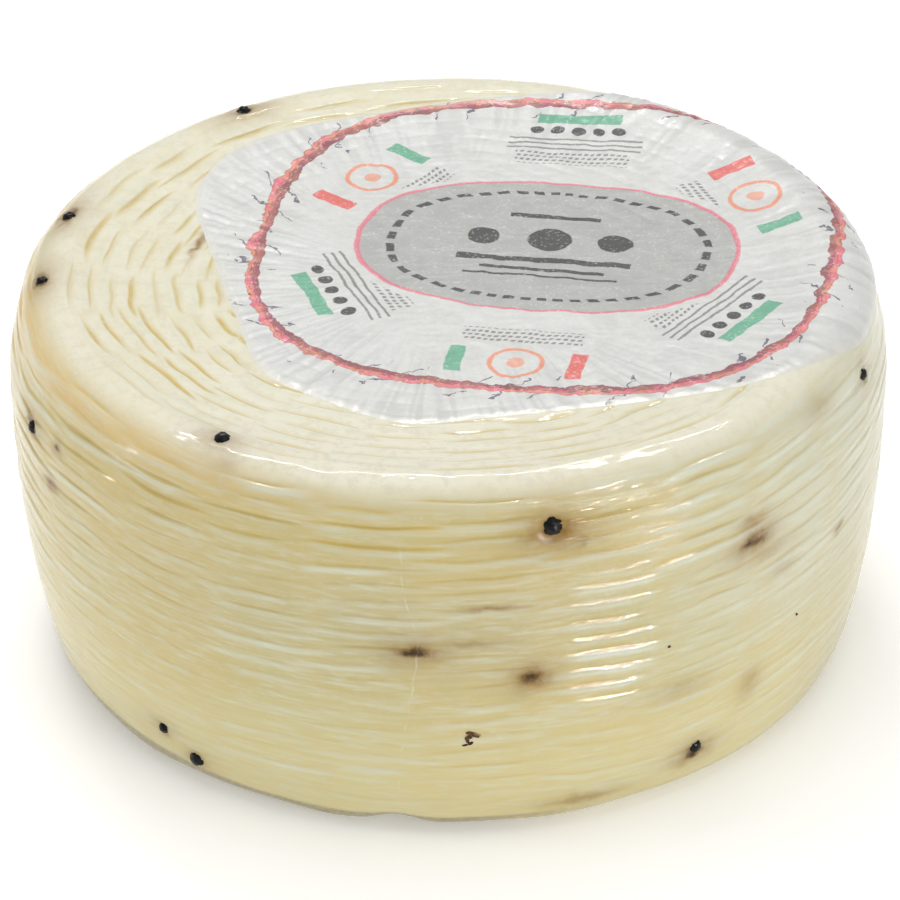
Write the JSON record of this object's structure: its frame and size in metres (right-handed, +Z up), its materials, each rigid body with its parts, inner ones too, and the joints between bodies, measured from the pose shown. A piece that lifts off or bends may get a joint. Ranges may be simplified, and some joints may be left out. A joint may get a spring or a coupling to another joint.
{
  "type": "pecorino cheese wheel",
  "caption": "Small round wheel of pressed sheep's-milk cheese with basket-moulded ridges, peppercorns in the paste and a paper label over its top.",
  "frame": {"origin": "middle of the flat underside, on the wheel's own axis", "axes": "+Z up along the wheel's axis, the side that the picture shows faces -Y, +X to its right"},
  "size_m": [0.1698, 0.1698, 0.0787],
  "materials": {
    "rind": "pale cream paste under a thin clear glossy food coating, deeper yellow in the grooves",
    "label": "white wrinkled label paper under the same clear coating, with a rose border and a grey panel",
    "peppercorn": "black wrinkled peppercorn with a wet sheen"
  },
  "bodies": {
    "root": {"wheel": "rind", "label": "label"}
  },
  "joints": []
}
